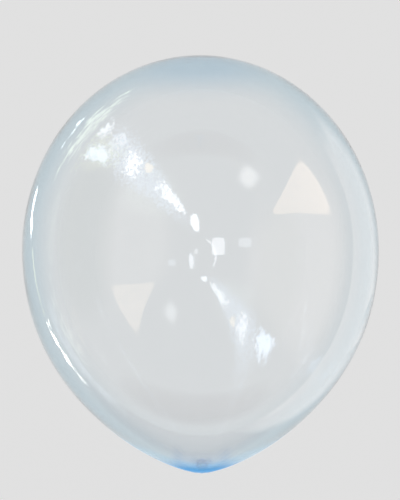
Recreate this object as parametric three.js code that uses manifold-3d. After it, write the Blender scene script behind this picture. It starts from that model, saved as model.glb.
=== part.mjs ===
// A blown-up, tied balloon of clear pale blue film, lying on a floor with its neck end low.
// The film is sealed by its knot, so the balloon is one closed solid.
// Millimetres and degrees. +Z is up, the crown points to +Y, and the origin is on the floor, in the
// middle of the small flat spot that the balloon rests on.

import * as THREE from "three";
import { mergeVertices } from "three/addons/utils/BufferGeometryUtils.js";
import Module from "manifold-3d";

const wasm = await Module();
wasm.setup();

// The blown-up body, measured from its widest ring
const bodyWidth = 300;
const crownLength = 164;
const taperLength = 218;
const taperFullness = 2.18;

// The blunt end round the neck, and how steep it stands to the balloon's axis
const bluntWidth = 48;
const bluntRadius = 30;
const bluntSlope = 80;

// The stretched neck between the body and the knot
const neckWidth = 9;
const neckFillet = 4;
const neckLength = 2;
const throatWidth = 6;

// The knot: two wraps of the neck, crossed over each other
const knotStrand = 5;
const knotWidth = 11.5;
const knotCross = 24;

// The tail below the knot, a flattened sleeve that ends in a rolled lip
const tailLength = 26;
const lipWidth = 24;
const lipThickness = 7.5;
const beadThickness = 2.4;
const sleeveWall = 1.2;
const mouthDepth = 13;

// How far the neck droops from the axis, over what length, and how far above the neck it starts
const droop = 82;
const droopLength = 10;
const droopLead = 3.5;

// How far the tail swings back out below the knot, and over what length
const tailSwing = 26;
const tailSwingLength = 8;

// How the balloon lies: the crown end raised, on a flat spot of this width
const lean = 8;
const restWidth = 48;

// Facets
const sides = 60;
const crownRows = 15;
const taperRows = 17;
const bluntRows = 4;
const filletRows = 4;
const neckRows = 4;
const sleeveRows = 12;
const beadRows = 6;
const knotSides = 10;
const knotRows = 28;

const rad = THREE.MathUtils.degToRad;
const bodyRadius = bodyWidth / 2;
const neckRadius = neckWidth / 2;
const throatRadius = throatWidth / 2;
const beadRadius = beadThickness / 2;
const knotLength = knotStrand * 1.5;

// The taper's radius at a distance from the widest ring, and its slope there
const taperRadius = (along) => bodyRadius * (1 - (along / taperLength) ** taperFullness);
const taperSlope = (along) =>
  ((bodyRadius * taperFullness) / taperLength) * (along / taperLength) ** (taperFullness - 1);
const taperAtRadius = (radius) => taperLength * (1 - radius / bodyRadius) ** (1 / taperFullness);
const taperAtSlope = (slope) =>
  taperLength * ((slope * taperLength) / (bodyRadius * taperFullness)) ** (1 / (taperFullness - 1));

const profile = [];

function addRing(along, radius) {
  profile.push(new THREE.Vector2(radius, -along));
}

// Crown: a quarter of an ellipse, from its top to the widest ring
for (let i = 0; i <= crownRows; i++) {
  const turn = ((i / crownRows) * Math.PI) / 2;
  addRing(-crownLength * Math.cos(turn), i === 0 ? 0 : bodyRadius * Math.sin(turn));
}

// Taper: rows of even steps in slope, from the widest ring to where the blunt end starts
const bluntStart = taperAtRadius(bluntWidth / 2);
const bluntStartTurn = Math.atan(taperSlope(bluntStart));
for (let i = 1; i <= taperRows; i++) {
  const along = taperAtSlope(Math.tan((i / taperRows) * bluntStartTurn));
  addRing(along, taperRadius(along));
}

// Blunt end: one arc that turns the taper in towards the neck
const bluntEndTurn = rad(bluntSlope);
for (let i = 1; i <= bluntRows; i++) {
  const turn = THREE.MathUtils.lerp(bluntStartTurn, bluntEndTurn, i / bluntRows);
  addRing(
    bluntStart + bluntRadius * (Math.sin(turn) - Math.sin(bluntStartTurn)),
    bluntWidth / 2 - bluntRadius * (Math.cos(bluntStartTurn) - Math.cos(turn)),
  );
}
const bluntEnd = profile[profile.length - 1];

// Neck root: a hollow fillet from the blunt end into the neck
const filletTop = neckRadius + neckFillet * (1 - Math.cos(bluntEndTurn));
const neckStart =
  -bluntEnd.y + (bluntEnd.x - filletTop) / Math.tan(bluntEndTurn) + neckFillet * Math.sin(bluntEndTurn);
for (let i = 0; i <= filletRows; i++) {
  const turn = bluntEndTurn * (1 - i / filletRows);
  addRing(neckStart - neckFillet * Math.sin(turn), neckRadius + neckFillet * (1 - Math.cos(turn)));
}

// Neck, narrowing into the knot
const knotStart = neckStart + neckLength;
const knotMiddle = knotStart + knotLength / 2;
const tailStart = knotStart + knotLength;
for (let i = 1; i <= neckRows; i++) {
  const along = THREE.MathUtils.lerp(neckStart, knotMiddle, i / neckRows);
  const narrowed = THREE.MathUtils.smoothstep(along, neckStart, knotMiddle);
  addRing(along, THREE.MathUtils.lerp(neckRadius, throatRadius, narrowed));
}
addRing(tailStart, throatRadius);

// Tail sleeve, widening to the lip, then the bead, then back up inside the mouth
const tailEnd = tailStart + tailLength;
const lipRadius = lipWidth / 2 - beadRadius;
const sleeveEnd = tailEnd - beadRadius;
const sleeveRadius = (along) =>
  THREE.MathUtils.lerp(throatRadius, lipRadius, THREE.MathUtils.smoothstep(along, tailStart, sleeveEnd));
for (let i = 1; i <= sleeveRows; i++) {
  const along = THREE.MathUtils.lerp(tailStart, sleeveEnd - beadRadius, i / sleeveRows);
  addRing(along, sleeveRadius(along));
}
for (let i = 1; i < beadRows; i++) {
  const turn = Math.PI * (i / beadRows - 0.5);
  addRing(sleeveEnd + beadRadius * Math.sin(turn), lipRadius + beadRadius * Math.cos(turn));
}
const mouthEnd = tailEnd - mouthDepth;
for (let i = 0; i < sleeveRows / 2; i++) {
  const along = THREE.MathUtils.lerp(sleeveEnd - beadRadius, mouthEnd, i / (sleeveRows / 2));
  addRing(along, sleeveRadius(along) - sleeveWall);
}
addRing(mouthEnd, 0);

// The spine that the neck and tail follow: down the axis, then through these bends in one upright plane
const bends = [
  { start: neckStart - droopLead, length: droopLength, angle: droop },
  { start: tailStart, length: tailSwingLength, angle: -tailSwing },
];

// The spine's place and direction at a distance from the widest ring
function spineAt(along) {
  const at = new THREE.Vector3();
  let turn = 0;
  let reached = 0;
  const advance = (length, bend) => {
    const chord = bend === 0 ? length : (2 * length * Math.sin(bend / 2)) / bend;
    at.y -= chord * Math.cos(turn + bend / 2);
    at.z -= chord * Math.sin(turn + bend / 2);
    turn += bend;
    reached += length;
  };
  for (const { start, length, angle } of bends) {
    if (along <= start) break;
    advance(start - reached, 0);
    const bent = Math.min(along - start, length);
    advance(bent, (rad(angle) * bent) / length);
  }
  advance(along - reached, 0);
  return { at, turn };
}

// Bends a lathed film along the spine, and flattens the tail between the knot and the lip
function drapeAlongSpine(geometry) {
  const place = geometry.getAttribute("position");
  const point = new THREE.Vector3();
  const downAxis = new THREE.Vector3();
  for (let i = 0; i < place.count; i++) {
    point.fromBufferAttribute(place, i);
    const along = -point.y;
    const flat = THREE.MathUtils.smoothstep(along, tailStart, tailEnd - 2 * beadThickness);
    const depth = THREE.MathUtils.lerp(1, lipThickness / lipWidth, flat);
    const { at, turn } = spineAt(along);
    downAxis.set(0, -Math.sin(turn), Math.cos(turn)).multiplyScalar(point.z * depth);
    place.setXYZ(i, at.x + point.x, at.y + downAxis.y, at.z + downAxis.z);
  }
  return geometry;
}

function solidOf(geometry) {
  geometry.deleteAttribute("normal");
  geometry.deleteAttribute("uv");
  const merged = mergeVertices(geometry, 1e-4);
  return new wasm.Manifold(
    new wasm.Mesh({
      numProp: 3,
      vertProperties: merged.getAttribute("position").array,
      triVerts: new Uint32Array(merged.index.array),
    }),
  );
}

function geometryOf(solid) {
  const mesh = solid.getMesh();
  const geometry = new THREE.BufferGeometry();
  geometry.setAttribute("position", new THREE.BufferAttribute(mesh.vertProperties, 3));
  geometry.setIndex(new THREE.BufferAttribute(mesh.triVerts, 1));
  geometry.computeVertexNormals();
  return geometry;
}

// One wrap of the knot round the neck, tilted from square by an angle
function knotWrap(tilt) {
  const { at, turn } = spineAt(knotMiddle);
  const ringRadius = (knotWidth - knotStrand) / 2;
  const wrap = new THREE.TorusGeometry(ringRadius, knotStrand / 2, knotSides, knotRows);
  wrap.rotateX(Math.PI / 2);
  wrap.rotateZ(rad(tilt));
  wrap.rotateX(turn);
  wrap.translate(at.x, at.y, at.z);
  return solidOf(wrap);
}

// The flat spot: what lies below the floor is cut away once the balloon has been leant over
const restAlong = taperAtSlope(Math.tan(rad(lean)));
const restRadius = taperRadius(restAlong);
const crossRadius = restRadius / Math.cos(rad(lean));
const restDepth = crossRadius - Math.sqrt(crossRadius ** 2 - (restWidth / 2) ** 2);
const pose = new THREE.Matrix4()
  .makeTranslation(
    0,
    restAlong * Math.cos(rad(lean)) - restRadius * Math.sin(rad(lean)),
    restAlong * Math.sin(rad(lean)) + restRadius * Math.cos(rad(lean)) - restDepth,
  )
  .multiply(new THREE.Matrix4().makeRotationX(rad(lean)));

function makeBalloon() {
  const film = solidOf(drapeAlongSpine(new THREE.LatheGeometry(profile.reverse(), sides)).applyMatrix4(pose));
  const wraps = [knotCross, -knotCross].map((tilt) =>
    knotWrap(tilt).transform(pose.elements),
  );
  const floorBlock = new THREE.BoxGeometry(bodyWidth * 2, bodyWidth * 2, bodyWidth);
  floorBlock.translate(0, 0, -bodyWidth / 2);
  return film.add(wraps[0]).add(wraps[1]).subtract(solidOf(floorBlock));
}

const clearFilm = new THREE.MeshStandardMaterial({
  color: 0xb9d6e6,
  roughness: 0.06,
  metalness: 0,
  transparent: true,
  opacity: 0.35,
});

const balloon = new THREE.Mesh(geometryOf(makeBalloon()), clearFilm);
balloon.name = "balloon";

const model = new THREE.Group();
model.add(balloon);

export default model;
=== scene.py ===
# Bubble balloon: a blown-up, tied balloon of clear pale blue latex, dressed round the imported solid.
# Metres, +Z up. The crown is raised and points to +Y, the neck, knot and tail hang low at -Y.
import math
import bpy
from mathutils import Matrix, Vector


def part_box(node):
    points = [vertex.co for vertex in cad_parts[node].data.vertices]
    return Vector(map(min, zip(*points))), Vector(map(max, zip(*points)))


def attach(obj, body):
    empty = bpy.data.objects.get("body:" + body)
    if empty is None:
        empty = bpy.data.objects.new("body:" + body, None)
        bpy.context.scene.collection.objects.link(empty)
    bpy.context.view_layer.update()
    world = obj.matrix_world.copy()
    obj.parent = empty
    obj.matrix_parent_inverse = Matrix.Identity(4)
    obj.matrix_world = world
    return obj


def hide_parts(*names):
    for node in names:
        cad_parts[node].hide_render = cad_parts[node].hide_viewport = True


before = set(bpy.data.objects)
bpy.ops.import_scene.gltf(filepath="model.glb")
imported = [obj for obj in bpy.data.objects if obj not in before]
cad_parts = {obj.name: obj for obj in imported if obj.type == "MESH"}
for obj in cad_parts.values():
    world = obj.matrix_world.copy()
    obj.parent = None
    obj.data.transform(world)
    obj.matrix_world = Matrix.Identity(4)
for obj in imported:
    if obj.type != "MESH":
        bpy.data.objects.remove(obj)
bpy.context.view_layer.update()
print("frame loaded")

mm = 0.001


# The balloon's own sizes, the same rule as the solid: a quarter ellipse for the crown, a power curve
# for the taper, one arc for the blunt end and a hollow fillet into the neck.
bodySizes = {
    "bodyRadius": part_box("balloon")[1][0],
    "crownLength": 164 * mm,
    "taperLength": 218 * mm,
    "taperFullness": 2.18,
    "bluntWidth": 48 * mm,
    "bluntRadius": 30 * mm,
    "bluntSlope": math.radians(80),
    "neckRadius": 4.5 * mm,
    "neckFillet": 4 * mm,
    "neckLength": 2 * mm,
    "throatRadius": 3 * mm,
    "droop": math.radians(82),       # how far the neck and tail hang away from the axis
    "droopLength": 10 * mm,
    "droopLead": 3.5 * mm,           # the droop starts this far above the neck
    "lean": math.radians(8),         # the crown end is raised by this much
    "restWidth": 48 * mm,            # the flat spot where the film meets the floor
}

knotSizes = {
    "strand": 2.0 * mm,              # radius of the gathered film
    "loopRadius": 2.65 * mm,
    "weave": 1.05 * mm,              # how far the strand swings in and out
    "weaveHeight": 1.8 * mm,         # and along the neck
    "length": 7.5 * mm,              # the stretch of the neck that the knot takes up
    "creases": 9,
    "creaseDepth": 0.16,
    "twist": 3,
    "steps": 180,
    "sides": 54,
}

tailSizes = {
    "length": 26 * mm,
    "swing": math.radians(26),       # how far it swings back out below the knot
    "swingLength": 8 * mm,
    "lipWidth": 24 * mm,
    "lipThickness": 7.5 * mm,
    "beadRadius": 1.2 * mm,
    "wall": 0.45 * mm,
    "tucked": 1.5 * mm,              # the sleeve starts this far below the knot's middle
    "flareLead": 1 * mm,             # and flares from this far above the knot's lower end
    "deepLip": 2.9 * mm,             # how much of the lip shows the deepest colour
    "innerDrop": 0.09 * mm,          # the inner wall lies this much lower than the outer
    "curl": 1.35,                    # how far the lip rolls round, in half turns
    "pleats": 9,
    "pleatDepth": 0.8 * mm,
    "pleatsBefore": 4 * mm,          # the pleats start this far above the knot's lower end
    "pleatsAfter": 3 * mm,           # and are full this far below it
    "crumple": 1.4 * mm,
    "crumpleSize": 7 * mm,
    "sides": 132,
    "rows": 40,
    "beadRows": 14,
}

filmSizes = {
    "wall": 0.3 * mm,                # the real film is some 0.01 mm, too thin to trace cleanly
    "sides": 144,
    "crownRows": 56,
    "taperRows": 70,
    "bluntRows": 18,
    "filletRows": 10,
    "neckRows": 10,
    "pleats": 26,
    "pleatDepth": 0.35 * mm,
    "pleatReach": 24 * mm,           # how far up the blunt end the neck's pleats run
}


# Camera

cameraSizes = {
    "height": 0.5486,                # straight above the balloon as it lies, at arm's length
    "aim": (-0.0004, 0.0099),        # the point of the floor under the lens
    "distance": 0.4,                 # lens to the widest ring
    "frameHeight": 0.4535,           # what the long side of the picture takes in there
    "sensor": 36.0,
    "roll": math.radians(-0.36),
}


def addCamera(sizes):
    data = bpy.data.cameras.new("overheadCamera")
    data.sensor_width = sizes["sensor"]
    data.lens = sizes["sensor"] * sizes["distance"] / sizes["frameHeight"]
    data.clip_start = 0.01
    camera = bpy.data.objects.new("overheadCamera", data)
    camera.location = (*sizes["aim"], sizes["height"])
    camera.rotation_euler = (0, 0, sizes["roll"])
    bpy.context.scene.collection.objects.link(camera)
    bpy.context.scene.camera = camera


addCamera(cameraSizes)
bpy.context.scene.view_settings.view_transform = "Standard"
print("camera placed")


# Helpers

def linear(hexColour):
    # sRGB hex to the linear colour that Blender's sockets take
    channels = [int(hexColour[i:i + 2], 16) / 255 for i in (1, 3, 5)]
    return (*[c / 12.92 if c <= 0.04045 else ((c + 0.055) / 1.055) ** 2.4 for c in channels], 1.0)


def addNode(tree, kind, inputs=None, **settings):
    # inputs: socket name or number -> a value, or another node's output to link
    node = tree.nodes.new(kind)
    for name, value in settings.items():
        setattr(node, name, value)
    for key, value in (inputs or {}).items():
        if isinstance(value, bpy.types.NodeSocket):
            tree.links.new(value, node.inputs[key])
        else:
            node.inputs[key].default_value = value
    return node


def shortForms(tree):
    # a Math node and a smooth ramp, written short
    def calc(operation, *values):
        return addNode(tree, "ShaderNodeMath", dict(enumerate(values)), operation=operation).outputs[0]

    def ramp(value, low, high):
        return addNode(tree, "ShaderNodeMapRange", {"Value": value, "From Min": low, "From Max": high},
                       interpolation_type="SMOOTHSTEP").outputs["Result"]

    return calc, ramp


def newMaterial(name):
    material = bpy.data.materials.new(name)
    material.use_nodes = True
    material.node_tree.nodes.clear()
    return material, material.node_tree


def newTree(name, inputs):
    # a Geometry Nodes tree whose inputs are named sizes
    tree = bpy.data.node_groups.new(name, "GeometryNodeTree")
    tree.interface.new_socket(name="Geometry", in_out="INPUT", socket_type="NodeSocketGeometry")
    for label, kind in inputs.items():
        tree.interface.new_socket(name=label, in_out="INPUT", socket_type="NodeSocket" + kind)
    tree.interface.new_socket(name="Geometry", in_out="OUTPUT", socket_type="NodeSocketGeometry")
    return tree, addNode(tree, "NodeGroupInput").outputs


def finishTree(tree, geometry, material):
    real = addNode(tree, "GeometryNodeRealizeInstances", {"Geometry": geometry})
    dressed = addNode(tree, "GeometryNodeSetMaterial", {"Geometry": real.outputs[0], "Material": material})
    addNode(tree, "NodeGroupOutput", {0: dressed.outputs[0]})


def polyCurve(name, points):
    data = bpy.data.curves.new(name, "CURVE")
    data.dimensions = "3D"
    spline = data.splines.new("POLY")
    spline.points.add(len(points) - 1)
    for target, point in zip(spline.points, points):
        target.co = (*point, 1)
    made = bpy.data.objects.new(name, data)
    bpy.context.scene.collection.objects.link(made)
    return made


def grow(name, source, tree, values):
    # runs the tree on the source and keeps the result as a plain mesh
    modifier = source.modifiers.new(name, "NODES")
    modifier.node_group = tree
    for item in tree.interface.items_tree:
        if item.in_out == "INPUT" and item.name in values:
            modifier[item.identifier] = values[item.name]
    evaluated = source.evaluated_get(bpy.context.evaluated_depsgraph_get())
    mesh = bpy.data.meshes.new_from_object(evaluated)
    mesh.name = name
    source.modifiers.remove(modifier)
    made = bpy.data.objects.new(name, mesh)
    bpy.context.scene.collection.objects.link(made)
    return made


def smoothstep(value, low, high):
    t = min(1, max(0, (value - low) / (high - low)))
    return t * t * (3 - 2 * t)


def mix(a, b, t):
    return a + (b - a) * t


# The axis that the film follows, from the crown to the end of the tail

def taperAtSlope(b, slope):
    power = 1 / (b["taperFullness"] - 1)
    return b["taperLength"] * (slope * b["taperLength"] / (b["bodyRadius"] * b["taperFullness"])) ** power


def taperRadius(b, along):
    return b["bodyRadius"] * (1 - (along / b["taperLength"]) ** b["taperFullness"])


def ringCentre(b):
    # where the widest ring's middle lies once the balloon leans on its flat spot
    along = taperAtSlope(b, math.tan(b["lean"]))
    radius = taperRadius(b, along)
    across = radius / math.cos(b["lean"])
    sunk = across - math.sqrt(across ** 2 - (b["restWidth"] / 2) ** 2)
    return Vector((
        0,
        along * math.cos(b["lean"]) - radius * math.sin(b["lean"]),
        along * math.sin(b["lean"]) + radius * math.cos(b["lean"]) - sunk,
    ))


def bodyPlaces(b):
    # distances along the axis from the widest ring, where one stretch of the film ends and the next starts
    start = b["taperLength"] * (1 - b["bluntWidth"] / 2 / b["bodyRadius"]) ** (1 / b["taperFullness"])
    startSlope = b["bodyRadius"] * b["taperFullness"] / b["taperLength"]
    startSlope *= (start / b["taperLength"]) ** (b["taperFullness"] - 1)
    startTurn = math.atan(startSlope)
    endTurn = b["bluntSlope"]
    end = start + b["bluntRadius"] * (math.sin(endTurn) - math.sin(startTurn))
    endRadius = b["bluntWidth"] / 2 - b["bluntRadius"] * (math.cos(startTurn) - math.cos(endTurn))
    filletTop = b["neckRadius"] + b["neckFillet"] * (1 - math.cos(endTurn))
    neck = end + (endRadius - filletTop) / math.tan(endTurn) + b["neckFillet"] * math.sin(endTurn)
    return {
        "bluntStart": start,
        "bluntStartTurn": startTurn,
        "neck": neck,
        "droopStart": neck - b["droopLead"],
        "knotMiddle": neck + b["neckLength"] + knotSizes["length"] / 2,
        "tailStart": neck + b["neckLength"] + knotSizes["length"],
        "tailEnd": neck + b["neckLength"] + knotSizes["length"] + tailSizes["length"],
    }


def spineAt(b, places, along):
    # a point of the axis in the balloon's resting pose: it runs down the axis, then through two bends
    bends = (
        (places["droopStart"], b["droopLength"], b["droop"]),
        (places["tailStart"], tailSizes["swingLength"], -tailSizes["swing"]),
    )
    at, turn, reached = Vector(), b["lean"], 0
    for start, length, angle in bends:
        if along <= start:
            break
        bent = min(along - start, length)
        turned = angle * bent / length
        chord = 2 * length / angle * math.sin(turned / 2)
        at += Vector((0, -math.cos(turn), -math.sin(turn))) * (start - reached)
        at += Vector((0, -math.cos(turn + turned / 2), -math.sin(turn + turned / 2))) * chord
        turn += turned
        reached = start + bent
    at += Vector((0, -math.cos(turn), -math.sin(turn))) * (along - reached)
    return ringCentre(b) + at


def makeSpine(b, places):
    # straight from the crown to the neck, then short steps round the bends
    step = 0.5 * mm
    spare = 2 * mm
    points = [spineAt(b, places, -b["crownLength"])]
    along = places["droopStart"]
    while along < places["tailStart"] + tailSizes["swingLength"]:
        points.append(spineAt(b, places, along))
        along += step
    points.append(spineAt(b, places, places["tailEnd"] + spare))
    return polyCurve("spine", points)


places = bodyPlaces(bodySizes)
spine = makeSpine(bodySizes, places)


# Profiles: points of (ring radius, distance along the axis from the crown)

def thicken(outer, wall):
    # adds the inner wall, from the last ring back to the first, which is the point of the crown
    inner = [(0, outer[0][1] + wall)]
    for i, (radius, along) in enumerate(outer[1:], 1):
        before, after = outer[i - 1], outer[min(i + 1, len(outer) - 1)]
        dr, da = after[0] - before[0], after[1] - before[1]
        size = math.hypot(dr, da)
        inner.append((radius - wall * da / size, along + wall * dr / size))
    return outer + inner[::-1]


def filmProfile(b, f, places):
    outer = []
    for i in range(f["crownRows"] + 1):
        turn = i / f["crownRows"] * math.pi / 2
        outer.append((b["bodyRadius"] * math.sin(turn), -b["crownLength"] * math.cos(turn)))
    for i in range(1, f["taperRows"] + 1):
        along = taperAtSlope(b, math.tan(i / f["taperRows"] * places["bluntStartTurn"]))
        outer.append((taperRadius(b, along), along))
    for i in range(1, f["bluntRows"] + 1):
        turn = mix(places["bluntStartTurn"], b["bluntSlope"], i / f["bluntRows"])
        outer.append((
            b["bluntWidth"] / 2 - b["bluntRadius"] * (math.cos(places["bluntStartTurn"]) - math.cos(turn)),
            places["bluntStart"] + b["bluntRadius"] * (math.sin(turn) - math.sin(places["bluntStartTurn"])),
        ))
    for i in range(f["filletRows"] + 1):
        turn = b["bluntSlope"] * (1 - i / f["filletRows"])
        outer.append((
            b["neckRadius"] + b["neckFillet"] * (1 - math.cos(turn)),
            places["neck"] - b["neckFillet"] * math.sin(turn),
        ))
    for i in range(1, f["neckRows"] + 1):
        along = mix(places["neck"], places["knotMiddle"], i / f["neckRows"])
        narrowed = smoothstep(along, places["neck"], places["knotMiddle"])
        outer.append((mix(b["neckRadius"], b["throatRadius"], narrowed), along))
    whole = thicken(outer, f["wall"])
    return [(radius, along + b["crownLength"], 0) for radius, along in whole]


def tailProfile(b, t, places):
    lip = t["lipWidth"] / 2 - t["beadRadius"]
    lipMiddle = places["tailEnd"] - t["beadRadius"]
    start = places["knotMiddle"] + t["tucked"]
    flareStart = places["tailStart"] - t["flareLead"]

    def sleeve(along):
        return mix(b["throatRadius"], lip, smoothstep(along, flareStart, lipMiddle))

    outer = [(0, start)]
    for i in range(t["rows"] + 1):
        along = mix(start, lipMiddle - t["beadRadius"], i / t["rows"])
        outer.append((sleeve(along), along))
    inner = [(r - t["wall"], along + t["innerDrop"]) for r, along in outer[1:]]
    bead = []
    for i in range(1, t["beadRows"]):
        turn = math.pi * (i / t["beadRows"] * t["curl"] - 0.5)
        bead.append((lip + t["beadRadius"] * math.cos(turn), lipMiddle + t["beadRadius"] * math.sin(turn)))
    whole = outer + bead + inner[::-1] + [(0, inner[0][1])]
    return [(radius, along + b["crownLength"], 0) for radius, along in whole]


# One tree turns a profile into a sleeve of film round the spine

def sleeveTree():
    tree, given = newTree("filmSleeve", {
        "Spine": "Object", "Rows": "Int", "Sides": "Int", "Floor": "Float", "Wall": "Float",
        "Pleats": "Int", "Pleat depth": "Float", "Pleats from": "Float", "Pleats full at": "Float",
        "Flat": "Float", "Flat from": "Float", "Flat full at": "Float",
        "Crumple": "Float", "Crumple size": "Float", "Material": "Material",
    })

    calc, ramp = shortForms(tree)
    poleRadius = 0.5 * mm
    weldDistance = 1e-6
    columns = calc("ADD", given["Sides"], 1)
    grid = addNode(tree, "GeometryNodeMeshGrid", {"Vertices X": given["Rows"], "Vertices Y": columns})
    index = addNode(tree, "GeometryNodeInputIndex").outputs[0]
    row = calc("FLOOR", calc("DIVIDE", index, columns))
    turn = calc("MULTIPLY", calc("DIVIDE", calc("MODULO", index, columns), given["Sides"]), math.tau)
    place = addNode(tree, "GeometryNodeInputPosition").outputs[0]
    ring = addNode(tree, "GeometryNodeSampleIndex",
                   {"Geometry": given["Geometry"], "Value": place, "Index": row}, data_type="FLOAT_VECTOR")
    ring = addNode(tree, "ShaderNodeSeparateXYZ", {0: ring.outputs[0]}).outputs
    along = ring[1]

    # pleats run along the sleeve, a whole number of them round it, and leave its poles alone
    pleat = calc("COSINE", calc("MULTIPLY", turn, given["Pleats"]))
    pleat = calc("MULTIPLY", calc("MULTIPLY", pleat, given["Pleat depth"]),
                 ramp(along, given["Pleats from"], given["Pleats full at"]))
    offAxis = addNode(tree, "FunctionNodeCompare", {0: ring[0], 1: poleRadius}, operation="GREATER_THAN")
    radius = calc("ADD", ring[0], calc("MULTIPLY", pleat, offAxis.outputs[0]))

    # the spine lies in the plane x = 0, so its side axis is X and the third axis follows from its tangent
    spineCurve = addNode(tree, "GeometryNodeObjectInfo", {"Object": given["Spine"]})
    onSpine = addNode(tree, "GeometryNodeSampleCurve",
                      {"Curves": spineCurve.outputs["Geometry"], "Length": along}, mode="LENGTH")
    depthAxis = addNode(tree, "ShaderNodeVectorMath",
                        {0: (1, 0, 0), 1: onSpine.outputs["Tangent"]}, operation="CROSS_PRODUCT").outputs[0]
    flat = ramp(along, given["Flat from"], given["Flat full at"])
    flat = calc("ADD", 1, calc("MULTIPLY", flat, calc("SUBTRACT", given["Flat"], 1)))
    side = calc("MULTIPLY", radius, calc("SINE", turn))
    depth = calc("MULTIPLY", calc("MULTIPLY", radius, calc("COSINE", turn)), flat)
    depthMove = addNode(tree, "ShaderNodeVectorMath", {0: depthAxis, "Scale": depth}, operation="SCALE")
    sideMove = addNode(tree, "ShaderNodeCombineXYZ", {0: side})
    moved = addNode(tree, "ShaderNodeVectorMath",
                    {0: onSpine.outputs["Position"], 1: depthMove.outputs[0]}, operation="ADD")
    moved = addNode(tree, "ShaderNodeVectorMath", {0: moved.outputs[0], 1: sideMove.outputs[0]},
                    operation="ADD")

    # loose film is crumpled, most at the lip
    loose = ramp(along, given["Flat from"], given["Flat full at"])
    noise = addNode(tree, "ShaderNodeTexNoise",
                    {"Vector": moved.outputs[0], "Scale": calc("DIVIDE", 1, given["Crumple size"]),
                     "Detail": 1.5})
    swing = addNode(tree, "ShaderNodeVectorMath", {0: noise.outputs["Color"], 1: (0.5, 0.5, 0.5)},
                    operation="SUBTRACT")
    swing = addNode(tree, "ShaderNodeVectorMath",
                    {0: swing.outputs[0], "Scale": calc("MULTIPLY", given["Crumple"], loose)},
                    operation="SCALE")
    moved = addNode(tree, "ShaderNodeVectorMath", {0: moved.outputs[0], 1: swing.outputs[0]},
                    operation="ADD")

    # the film lies flat where it meets the floor, the inner wall one thickness above the outer: the
    # second half of the rows is the inner wall
    xyz = addNode(tree, "ShaderNodeSeparateXYZ", {0: moved.outputs[0]}).outputs
    inner = addNode(tree, "FunctionNodeCompare",
                    {0: row, 1: calc("SUBTRACT", calc("DIVIDE", given["Rows"], 2), 0.5)},
                    operation="GREATER_THAN")
    lowest = calc("ADD", given["Floor"], calc("MULTIPLY", given["Wall"], inner.outputs[0]))
    raised = calc("MAXIMUM", xyz[2], lowest)
    placed = addNode(tree, "ShaderNodeCombineXYZ", {0: xyz[0], 1: xyz[1], 2: raised})

    shell = addNode(tree, "GeometryNodeSetPosition",
                    {"Geometry": grid.outputs["Mesh"], "Position": placed.outputs[0]})
    shell = addNode(tree, "GeometryNodeStoreNamedAttribute",
                    {"Geometry": shell.outputs[0], "Name": "ringRadius", "Value": ring[0]})
    shell = addNode(tree, "GeometryNodeStoreNamedAttribute",
                    {"Geometry": shell.outputs[0], "Name": "fromCrown", "Value": along})
    # how far down a pleat's valley each point lies, kept for the slack latex, which darkens the valleys:
    # partly doubled film, partly painted crease shade
    valley = calc("DIVIDE", calc("SUBTRACT", given["Pleat depth"], pleat),
                  calc("MULTIPLY", given["Pleat depth"], 2))
    shell = addNode(tree, "GeometryNodeStoreNamedAttribute",
                    {"Geometry": shell.outputs[0], "Name": "fold", "Value": valley})
    shell = addNode(tree, "GeometryNodeMergeByDistance",
                    {"Geometry": shell.outputs[0], "Distance": weldDistance})
    shell = addNode(tree, "GeometryNodeFlipFaces", {"Mesh": shell.outputs[0]})
    shell = addNode(tree, "GeometryNodeSetShadeSmooth", {"Geometry": shell.outputs[0]})
    finishTree(tree, shell.outputs[0], given["Material"])
    return tree


# The overhand knot: one gathered strand woven round the throat

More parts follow.
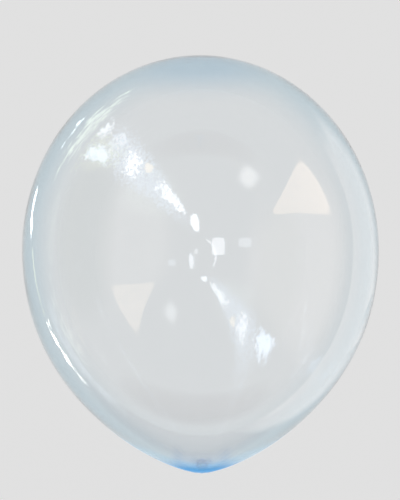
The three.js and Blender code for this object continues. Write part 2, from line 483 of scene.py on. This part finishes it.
def knotTree():
    tree, given = newTree("tiedKnot", {
        "Strand": "Float", "Loop radius": "Float", "Weave": "Float", "Weave height": "Float",
        "Creases": "Int", "Crease depth": "Float", "Twist": "Int", "Middle": "Vector", "Turn": "Float",
        "Material": "Material",
    })

    calc = shortForms(tree)[0]
    steps, around = knotSizes["steps"], knotSizes["sides"]
    path = addNode(tree, "GeometryNodeCurvePrimitiveCircle", {"Resolution": steps, "Radius": 1.0})
    index = addNode(tree, "GeometryNodeInputIndex").outputs[0]
    turn = calc("MULTIPLY", calc("DIVIDE", index, steps), math.tau)
    twice, thrice = calc("MULTIPLY", turn, 2), calc("MULTIPLY", turn, 3)
    reach = calc("ADD", given["Loop radius"], calc("MULTIPLY", given["Weave"], calc("COSINE", thrice)))
    onPath = addNode(tree, "ShaderNodeCombineXYZ", {
        0: calc("MULTIPLY", reach, calc("COSINE", twice)),
        1: calc("MULTIPLY", reach, calc("SINE", twice)),
        2: calc("MULTIPLY", given["Weave height"], calc("SINE", thrice)),
    })
    path = addNode(tree, "GeometryNodeSetPosition",
                   {"Geometry": path.outputs[0], "Position": onPath.outputs[0]})
    path = addNode(tree, "GeometryNodeSetCurveTilt",
                   {0: path.outputs[0], "Tilt": calc("MULTIPLY", turn, given["Twist"])})
    section = addNode(tree, "GeometryNodeCurvePrimitiveCircle", {"Resolution": around, "Radius": 1.0})
    angle = calc("MULTIPLY", calc("DIVIDE", index, around), math.tau)
    crease = calc("ABSOLUTE", calc("SINE", calc("MULTIPLY", calc("MULTIPLY", angle, given["Creases"]), 0.5)))
    grown = calc("MULTIPLY", given["Strand"],
                 calc("SUBTRACT", 1, calc("MULTIPLY", given["Crease depth"], calc("SUBTRACT", 1, crease))))
    lobes = addNode(tree, "ShaderNodeCombineXYZ", {
        0: calc("MULTIPLY", grown, calc("COSINE", angle)),
        1: calc("MULTIPLY", grown, calc("SINE", angle)),
    })
    section = addNode(tree, "GeometryNodeSetPosition",
                      {"Geometry": section.outputs[0], "Position": lobes.outputs[0]})
    strand = addNode(tree, "GeometryNodeCurveToMesh",
                     {"Curve": path.outputs[0], "Profile Curve": section.outputs[0]})
    turned = addNode(tree, "ShaderNodeCombineXYZ", {0: given["Turn"]})
    strand = addNode(tree, "GeometryNodeTransform",
                     {"Geometry": strand.outputs[0], "Translation": given["Middle"],
                      "Rotation": turned.outputs[0]})
    strand = addNode(tree, "GeometryNodeSetShadeSmooth", {"Geometry": strand.outputs[0]})
    finishTree(tree, strand.outputs[0], given["Material"])
    return tree


# Materials

def stretchedLatexFilm():
    # Natural latex, dipped, dyed and blown up until it is clear: sharp mirror-like highlights on both
    # walls and a faint blue cast. The film is thicker by the neck and a little at the crown, and there
    # it shows its dye, most where the eye looks along it. Towards its rim the whole film turns bluer and
    # darker with the slant: partly its dye, partly painted shade standing in for the darker surroundings
    # it mirrors there. A "slant" says from where to where a tint comes in, as the film turns from
    # face-on, 0, to edge-on, 1.
    material, tree = newMaterial("stretchedLatexFilm")
    looks = {
        "clear": "#f9fbfc",
        # the rim tint: partly the dye, partly painted shade for the darker surroundings mirrored at the rim
        "edge": "#bcdcea",
        "thick": "#2f9cec",
        "dye": "#def4fe",                    # deepens with the slant of the view, as a dyed film does
        "crownSpot": "#c0ddf1",
        "capReach": (20 * mm, 33 * mm),      # ring radii where the thick colour is full and gone
        "rootReach": (4 * mm, 20 * mm),      # by the neck a little of it shows face-on too
        "rootShare": 0.1,
        "sleeveReach": (4.6 * mm, 8 * mm),   # and about half of it on the neck itself
        "sleeveShare": 0.55,
        "neckReach": (54 * mm, 92 * mm),     # ring radii where the dye is full and gone
        "dyeHalfWidth": (10 * mm, 40 * mm),  # and how far from the plane x = 0 it is full and gone
        "crownReach": (20 * mm, 78 * mm),    # ring radii where the crown spot is full and gone
        "neckSlant": (0.5, 0.86),
        "capSlant": (0.2, 0.64),
        "crownSlant": (0.1, 0.5),
        "rimDyeAndShadeSlant": (0.35, 0.95),
        "ripple": 40 * mm,
    }

    calc, fade = shortForms(tree)

    def tinted(share, below, tint, blend="MIX"):
        return addNode(tree, "ShaderNodeMix", {"Factor": share, 6: below, 7: linear(tint)},
                       data_type="RGBA", blend_type=blend).outputs[2]

    where = addNode(tree, "ShaderNodeTexCoord").outputs["Object"]
    radius = addNode(tree, "ShaderNodeAttribute", attribute_name="ringRadius").outputs["Fac"]
    along = addNode(tree, "ShaderNodeAttribute", attribute_name="fromCrown").outputs["Fac"]
    facing = addNode(tree, "ShaderNodeLayerWeight", {"Blend": 0.5}).outputs["Facing"]
    pastMiddle = calc("GREATER_THAN", along, bodySizes["crownLength"])
    nearNeck = calc("MULTIPLY", fade(radius, looks["neckReach"][1], looks["neckReach"][0]), pastMiddle)
    nearNeck = calc("MULTIPLY", nearNeck, fade(facing, *looks["neckSlant"]))
    aside = calc("ABSOLUTE", addNode(tree, "ShaderNodeSeparateXYZ", {0: where}).outputs[0])
    nearNeck = calc("MULTIPLY", nearNeck, fade(aside, looks["dyeHalfWidth"][1], looks["dyeHalfWidth"][0]))
    onCap = calc("MULTIPLY", fade(radius, looks["capReach"][1], looks["capReach"][0]), pastMiddle)
    onCap = calc("MULTIPLY", onCap, fade(facing, *looks["capSlant"]))
    for reach, share in (("rootReach", "rootShare"), ("sleeveReach", "sleeveShare")):
        faceOn = calc("MULTIPLY", fade(radius, looks[reach][1], looks[reach][0]), pastMiddle)
        onCap = calc("MAXIMUM", onCap, calc("MULTIPLY", faceOn, looks[share]))
    nearCrown = calc("MULTIPLY", fade(radius, looks["crownReach"][1], looks["crownReach"][0]),
                     calc("SUBTRACT", 1.0, pastMiddle))
    nearCrown = calc("MULTIPLY", nearCrown, fade(facing, *looks["crownSlant"]))
    # rim tint with the slant: partly the dye seen at a slant, partly painted shade standing in for the
    # darker surroundings mirrored at the rim
    colour = tinted(fade(facing, *looks["rimDyeAndShadeSlant"]), linear(looks["clear"]), looks["edge"])
    colour = tinted(nearCrown, colour, looks["crownSpot"], "MULTIPLY")
    colour = tinted(onCap, colour, looks["thick"], "MULTIPLY")

    ripple = addNode(tree, "ShaderNodeTexNoise",
                     {"Vector": where, "Scale": 1 / looks["ripple"], "Detail": 0.0})
    bump = addNode(tree, "ShaderNodeBump", {"Height": ripple.outputs["Fac"], "Strength": 0.1,
                                            "Distance": 1 * mm})
    shader = addNode(tree, "ShaderNodeBsdfPrincipled", {
        "Base Color": colour, "Roughness": 0.03, "IOR": 1.52, "Transmission Weight": 1.0,
        "Coat Weight": nearNeck, "Coat IOR": 1.01, "Coat Roughness": 0.03, "Coat Tint": linear(looks["dye"]),
        "Normal": bump.outputs[0],
    })
    addNode(tree, "ShaderNodeOutputMaterial", {"Surface": shader.outputs[0]})
    return material


def relaxedLatex(name, tint, through, roughness, lipAndCreaseShade=None):
    # The same latex where it is slack: thick, soft and much deeper blue, with a satin skin. The last
    # argument gives the deep colour, and how far from the crown the rolled lip starts: the lip takes that
    # colour as doubled film, and the pleat valleys take it partly as doubled film and partly as painted
    # crease shade.
    creaseShadeShare = 0.5
    lipFade = 0.8 * mm
    mottleSize, skinSize = 3 * mm, 0.7 * mm
    material, tree = newMaterial(name)
    where = addNode(tree, "ShaderNodeTexCoord").outputs["Object"]
    mottle = addNode(tree, "ShaderNodeTexNoise", {"Vector": where, "Scale": 1 / mottleSize, "Detail": 3.0})
    colour = addNode(tree, "ShaderNodeMix", {
        "Factor": mottle.outputs["Fac"], 6: linear(tint[0]), 7: linear(tint[1]),
    }, data_type="RGBA").outputs[2]
    if lipAndCreaseShade:
        deepColour, lipStart = lipAndCreaseShade
        calc = shortForms(tree)[0]
        fold = addNode(tree, "ShaderNodeAttribute", attribute_name="fold").outputs["Fac"]
        along = addNode(tree, "ShaderNodeAttribute", attribute_name="fromCrown").outputs["Fac"]
        lip = addNode(tree, "ShaderNodeMapRange",
                      {"Value": along, "From Min": lipStart, "From Max": lipStart + lipFade}).outputs[0]
        # deeper colour in the pleat valleys is partly doubled film and partly painted crease shade; on the
        # rolled lip it is the doubled film
        lipAndCreaseShadeShare = calc("MAXIMUM", calc("MULTIPLY", fold, creaseShadeShare), lip)
        colour = addNode(tree, "ShaderNodeMix", {"Factor": lipAndCreaseShadeShare, 6: colour, 7: linear(deepColour)},
                         data_type="RGBA").outputs[2]
    skin = addNode(tree, "ShaderNodeTexNoise", {"Vector": where, "Scale": 1 / skinSize, "Detail": 2.0})
    bump = addNode(tree, "ShaderNodeBump", {"Height": skin.outputs["Fac"], "Strength": 0.3,
                                            "Distance": 0.05 * mm})
    shader = addNode(tree, "ShaderNodeBsdfPrincipled", {
        "Base Color": colour, "Roughness": roughness, "IOR": 1.52, "Transmission Weight": through,
        "Normal": bump.outputs[0],
    })
    addNode(tree, "ShaderNodeOutputMaterial", {"Surface": shader.outputs[0]})
    return material


filmMaterial = stretchedLatexFilm()
knotMaterial = relaxedLatex("gatheredLatex", ("#86c8fc", "#b0dcff"), 0.5, 0.22)
# the deep colour for the rolled lip and for the pleat valleys, where it is partly painted crease shade
tailLipAndCreaseShade = ("#6cbcf8", places["tailEnd"] + bodySizes["crownLength"] - tailSizes["deepLip"])
tailMaterial = relaxedLatex("slackLatexSleeve", ("#b8e0fe", "#dcf2ff"), 0.6, 0.12, tailLipAndCreaseShade)
print("materials made")


# Pieces

def makeFilm(b, f, places, tree):
    points = filmProfile(b, f, places)
    profile = polyCurve("filmProfile", points)
    neck = places["neck"] + b["crownLength"]
    # the film is neither flattened nor crumpled, so those inputs only have to be valid
    piece = grow("balloonFilm", profile, tree, {
        "Spine": spine, "Rows": len(points), "Sides": f["sides"], "Floor": 0.0, "Wall": f["wall"],
        "Pleats": f["pleats"], "Pleat depth": f["pleatDepth"],
        "Pleats from": neck - f["pleatReach"], "Pleats full at": neck,
        "Flat": 1.0, "Flat from": neck, "Flat full at": neck + 1, "Crumple": 0.0, "Crumple size": 0.01,
        "Material": filmMaterial,
    })
    bpy.data.objects.remove(profile)
    return piece


def makeTail(b, t, places, tree):
    points = tailProfile(b, t, places)
    profile = polyCurve("tailProfile", points)
    start, end = places["tailStart"] + b["crownLength"], places["tailEnd"] + b["crownLength"]
    piece = grow("tailSleeve", profile, tree, {
        "Spine": spine, "Rows": len(points), "Sides": t["sides"], "Floor": 0.0, "Wall": 0.0,
        "Pleats": t["pleats"], "Pleat depth": t["pleatDepth"],
        "Pleats from": start - t["pleatsBefore"], "Pleats full at": start + t["pleatsAfter"],
        "Flat": t["lipThickness"] / t["lipWidth"], "Flat from": start,
        "Flat full at": end - 4 * t["beadRadius"],
        "Crumple": t["crumple"], "Crumple size": t["crumpleSize"], "Material": tailMaterial,
    })
    bpy.data.objects.remove(profile)
    return piece


def makeKnot(b, k, places, tree):
    step = 0.1 * mm
    middle = spineAt(b, places, places["knotMiddle"])
    ahead = spineAt(b, places, places["knotMiddle"] + step) - middle
    turn = math.atan2(ahead.y, -ahead.z)      # from pointing straight down to the spine's direction
    # the tree makes its own curve, so any short one will do to run it on
    seed = polyCurve("knotSeed", [(0, 0, 0), (0, 0, step)])
    piece = grow("knot", seed, tree, {
        "Strand": k["strand"], "Loop radius": k["loopRadius"], "Weave": k["weave"],
        "Weave height": k["weaveHeight"], "Creases": k["creases"], "Crease depth": k["creaseDepth"],
        "Twist": k["twist"], "Middle": middle, "Turn": turn, "Material": knotMaterial,
    })
    bpy.data.objects.remove(seed)
    return piece


sleeve = sleeveTree()
film = makeFilm(bodySizes, filmSizes, places, sleeve)
tail = makeTail(bodySizes, tailSizes, places, sleeve)
knot = makeKnot(bodySizes, knotSizes, places, knotTree())
bpy.data.objects.remove(spine)
for piece in (film, tail, knot):
    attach(piece, "root")
    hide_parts("balloon")
film.visible_shadow = False
film.visible_diffuse = False
print("pieces made:", [(p.name, len(p.data.polygons)) for p in (film, tail, knot)])


# Studio

studio = {
    "floor": "#fdfdfd",
    "worldStrength": 0.765,
    "floorSize": 12.0,
    "floorDrop": 0.2 * mm,           # the floor lies this far below the film, so they don't coincide
    "cardDistance": 2.0,
    "stripHeight": 12 * mm,
}

# Cards are the studio's softboxes and flags, each given by the directions of its corners from the
# widest ring, as azimuth and elevation in degrees. The near wall of the film mirrors them upright and
# the far wall upside down. "mottle" is how ragged a screen in front makes a card, and "soft" how far
# its light fades towards its edges. "wall" names the one wall of the film that shows a card: without
# it, both do. The camera doesn't see the cards, and they don't light the floor.
cards = {
    "square": {"corners": [(-31, 83), (39, 82), (20, 76), (-15, 76.3)], "glow": 6.4, "colour": "#f6f9ff",
               "soft": 0.15, "wall": "near"},
    "squareFar": {"corners": [(-137, 85.6), (-171, 86.7), (-154.8, 88.8), (-109.8, 86.8)], "glow": 5.0,
                  "colour": "#f6f9ff", "soft": 0.2, "distance": 1.85, "wall": "far"},
    "squareSide": {"corners": [(14, 69), (10, 61.4), (0, 61.8), (0, 70)], "glow": 2.2, "colour": "#f6f9ff",
                   "soft": 0.3},
    "stripTop": {"corners": [(84, 82.5), (95, 73), (113, 73), (122, 82)], "glow": 7.0, "colour": "#f4f9ff",
                 "soft": 0.4, "mottle": 0.4},
    "stripHigh": {"corners": [(108, 73), (121, 47), (133, 51), (122, 74)], "glow": 7.0,
                  "colour": "#f4f9ff", "soft": 0.8, "mottle": 0.8},
    "stripWarm": {"corners": [(125, 36), (122, 43), (128, 45), (130, 40)], "glow": 4.0, "colour": "#fff2dc",
                  "soft": 0.5, "mottle": 0.3},
    "stripMiddle": {"corners": [(127, 20), (124, 34), (134, 43), (143, 32)], "glow": 7.0,
                    "colour": "#f2f8ff", "soft": 0.9, "mottle": 0.9},
    "stripLow": {"corners": [(124, 6), (124, 22), (132, 24), (139, 8)], "glow": 5.5, "colour": "#e4f1ff",
                 "soft": 1.0, "mottle": 1.0, "wall": "near"},
    "stripFoot": {"corners": [(126, -3.9), (126, 7), (135, 9), (139, -3.9)], "glow": 5.5,
                  "colour": "#f2f9ff", "soft": 1.0, "mottle": 1.0, "wall": "near"},
    "stripFar": {"corners": [(138, -2), (134, 21), (143, 21), (146, -2)], "glow": 7.0, "colour": "#dcecff",
                 "soft": 0.6, "mottle": 0.8, "wall": "far"},
    "stripGlow": {"corners": [(121, 2), (100, 80), (128, 82), (148, 4)], "glow": 2.8, "colour": "#dcecff",
                  "soft": 0.9, "mottle": 0.6, "distance": 3.0},
    "flecks": {"corners": [(131, -3.9), (129, 26), (143, 26), (152, -3.9)], "glow": 3.4,
               "colour": "#e2f0b4", "soft": 0.7, "mottle": 1.9, "fleckScale": 40.0, "distance": 2.2,
               "wall": "near"},
    "haze": {"corners": [(110, 40), (100, 72), (150, 72), (164, 14)], "glow": 1.5, "colour": "#eef6f0",
             "soft": 0.9, "mottle": 0.5, "distance": 3.3},
    "warmCard": {"corners": [(40, 12), (11, 6), (21, 46), (24, 47)], "glow": 2.6, "colour": "#ffead6",
                 "soft": 0.15},
    "fill": {"corners": [(43, 53), (43, 39), (61, 39), (61, 53)], "glow": 2.7, "colour": "#ffffff",
             "soft": 1.0},
    "rightHaze": {"corners": [(-50, -3.8), (-50, 62), (34, 62), (34, -3.8)], "glow": 1.4,
                  "colour": "#fff6f0", "soft": 0.9, "distance": 2.9},
    "leftFlag": {"corners": [(130, -3.8), (134, 36), (214, 36), (212, -3.8)], "glow": 0.55,
                 "colour": "#e4efe2", "soft": 0.9, "distance": 2.8},
    "neckFlag": {"corners": [(-130, -3.9), (-130, 16), (-56, 16), (-56, -3.9)], "glow": 0.4,
                 "colour": "#f0dcdc", "soft": 0.9, "distance": 2.2},
}

# Strips lie on the floor beside the balloon, along these points, and show in its rim. Only the near
# wall mirrors them, so they aren't seen through the film from the side.
strips = {
    "leftArcTop": {"path": [(-0.335, 0.396), (-0.372, 0.378), (-0.4, 0.361), (-0.4, 0.3)], "width": 0.09,
                   "glow": 6.5, "colour": "#f4faff", "soft": 0.9, "mottle": 1.1},
    "flecksTop": {"path": [(-0.42, 0.48), (-0.7, 0.74), (-1.3, 1.2)], "width": 0.66, "glow": 3.6,
                  "colour": "#eaf3de", "soft": 0.9, "mottle": 1.1, "fleckScale": 12.0},
    "leftArc": {"path": [(-0.345, 0.15), (-0.4, 0.08), (-0.45, 0.05)], "width": 0.04, "glow": 6.0,
                "colour": "#f4faff", "mottle": 0.5},
    "leftArcLow": {"path": [(-0.476, 0.03), (-0.503, -0.05), (-0.53, -0.2)], "width": 0.025, "glow": 2.2,
                   "colour": "#f4f6d8", "mottle": 0.5},
    "leftArcFoot": {"path": [(-0.54, -0.2), (-0.533, -0.314), (-0.501, -0.413), (-0.43, -0.46)],
                    "width": 0.1, "glow": 9.0, "colour": "#fffdf6", "soft": 0.5, "mottle": 0.9},
    "neckGlow": {"path": [(-0.14, -0.28), (0.14, -0.28)], "width": 0.24, "glow": 1.0, "colour": "#dff2ff",
                 "soft": 0.6},
    "neckShade": {"path": [(-0.7, -0.74), (0.5, -0.74)], "width": 0.7, "glow": 0.5, "colour": "#f2e0e2",
                  "soft": 0.6},
    "flecksFoot": {"path": [(-0.8, -0.36), (-1.3, -0.7), (-2.6, -1.8)], "width": 0.8, "glow": 2.0,
                   "colour": "#f6faf0", "soft": 0.8, "mottle": 1.3, "fleckScale": 7.0},
    "flecksLeft": {"path": [(-0.95, 0.3), (-1.6, 0.25), (-2.8, 0.4)], "width": 1.0, "glow": 1.4,
                   "colour": "#f0f6ea", "soft": 0.9, "mottle": 1.5, "fleckScale": 7.0},
    "footGlow": {"path": [(-0.92, -0.2), (-0.86, -0.48), (-0.7, -0.7), (-0.48, -0.85)], "width": 0.5,
                 "glow": 1.35, "colour": "#f4f8ff", "soft": 0.5},
    "rightGlow": {"path": [(0.66, 0.64), (0.77, 0.44), (0.8, 0.0), (0.72, -0.29), (0.6, -0.48),
                           (0.43, -0.57), (0.2, -0.57)],
                  "width": 1.04, "glow": 1.58, "colour": "#fff4ee", "soft": 0.36},
}


def direction(azimuth, elevation):
    a, e = math.radians(azimuth), math.radians(elevation)
    return Vector((math.cos(a) * math.cos(e), math.sin(a) * math.cos(e), math.sin(e)))


def cardMaterial(name, card):
    # a glowing cloth: bright inside, fading to its edges, behind a screen with ragged gaps
    material, tree = newMaterial(name)
    calc, ramp = shortForms(tree)
    where = addNode(tree, "ShaderNodeTexCoord").outputs
    sides = addNode(tree, "ShaderNodeSeparateXYZ", {0: where["UV"]}).outputs
    across = [calc("MULTIPLY", sides[i], calc("SUBTRACT", 1.0, sides[i])) for i in (0, 1)]
    flecks = addNode(tree, "ShaderNodeTexNoise",
                     {"Vector": where["Object"], "Scale": card["fleckScale"], "Detail": 2.0}).outputs["Fac"]
    inside = calc("MULTIPLY", calc("MULTIPLY", *across), 16.0)      # 1 in the middle, 0 at the edges
    swing = 4.0 * card["mottle"]        # how far the screen's gaps move the edge of the light
    covered = 0.3 * card["mottle"]      # and how much further inside the card it starts
    ragged = calc("MULTIPLY", calc("SUBTRACT", flecks, 0.5), swing)
    lit = ramp(calc("ADD", inside, ragged), covered, covered + card["soft"])
    glow = addNode(tree, "ShaderNodeEmission", {"Color": linear(card["colour"]), "Strength": card["glow"]})
    clear = addNode(tree, "ShaderNodeBsdfTransparent")
    shader = addNode(tree, "ShaderNodeMixShader",
                     {0: lit, 1: clear.outputs[0], 2: glow.outputs[0]})
    addNode(tree, "ShaderNodeOutputMaterial", {"Surface": shader.outputs[0]})
    return material


def hangCard(name, card, rails):
    # a grid between two rails of points, its UV running along and across
    steps = len(rails[0]) - 1
    points = [point for rail in rails for point in rail]
    faces = [(i, i + 1, i + steps + 2, i + steps + 1) for i in range(steps)]
    mesh = bpy.data.meshes.new(name)
    mesh.from_pydata(points, [], faces)
    uv = mesh.uv_layers.new(name="UVMap")
    for loop in mesh.loops:
        column, row = loop.vertex_index % (steps + 1), loop.vertex_index // (steps + 1)
        uv.data[loop.index].uv = (column / steps, row)
    mesh.materials.append(cardMaterial(name, card))
    made = bpy.data.objects.new(name, mesh)
    bpy.context.scene.collection.objects.link(made)
    made.visible_camera = False
    made.visible_diffuse = False
    made.visible_shadow = False
    made.visible_glossy = card["wall"] != "far"
    made.visible_transmission = card["wall"] != "near"


def hangSoftbox(name, card, middle):
    # stepped between its four corners, so that the UV has no kink along a diagonal
    card = {"fleckScale": 22.0, "mottle": 0.0, "wall": "both", "distance": studio["cardDistance"], **card}
    a, b, c, d = [middle + card["distance"] * direction(*corner) for corner in card["corners"]]
    steps = 12
    rails = [[start.lerp(end, i / steps) for i in range(steps + 1)] for start, end in ((a, b), (d, c))]
    hangCard(name, card, rails)


def layStrip(name, strip):
    path = [Vector((x, y, studio["stripHeight"])) for x, y in strip["path"]]
    rails = [[], []]
    for i, point in enumerate(path):
        ahead = path[min(i + 1, len(path) - 1)] - path[max(i - 1, 0)]
        across = ahead.normalized().cross(Vector((0, 0, 1))) * strip["width"] / 2
        rails[0].append(point + across)
        rails[1].append(point - across)
    hangCard(name, {"fleckScale": 28.0, "soft": 0.35, "mottle": 0.0, "wall": "near", **strip}, rails)


def makeFloor(s):
    half = s["floorSize"] / 2
    mesh = bpy.data.meshes.new("floor")
    low = -s["floorDrop"]
    mesh.from_pydata([(-half, -half, low), (half, -half, low), (half, half, low), (-half, half, low)],
                     [], [(0, 1, 2, 3)])
    floor = bpy.data.objects.new("floor", mesh)
    bpy.context.scene.collection.objects.link(floor)
    material = bpy.data.materials.new("paintedFloor")
    material.use_nodes = True
    shader = material.node_tree.nodes["Principled BSDF"]
    shader.inputs["Base Color"].default_value = linear(s["floor"])
    shader.inputs["Roughness"].default_value = 0.9
    shader.inputs["Specular IOR Level"].default_value = 0.0
    mesh.materials.append(material)


makeFloor(studio)
for name, card in cards.items():
    hangSoftbox(name, card, ringCentre(bodySizes))
for name, strip in strips.items():
    layStrip(name, strip)
world = bpy.data.worlds.new("paleStudio")
world.use_nodes = True
world.node_tree.nodes["Background"].inputs["Color"].default_value = (1, 1, 1, 1)
world.node_tree.nodes["Background"].inputs["Strength"].default_value = studio["worldStrength"]
bpy.context.scene.world = world
print("studio lit")
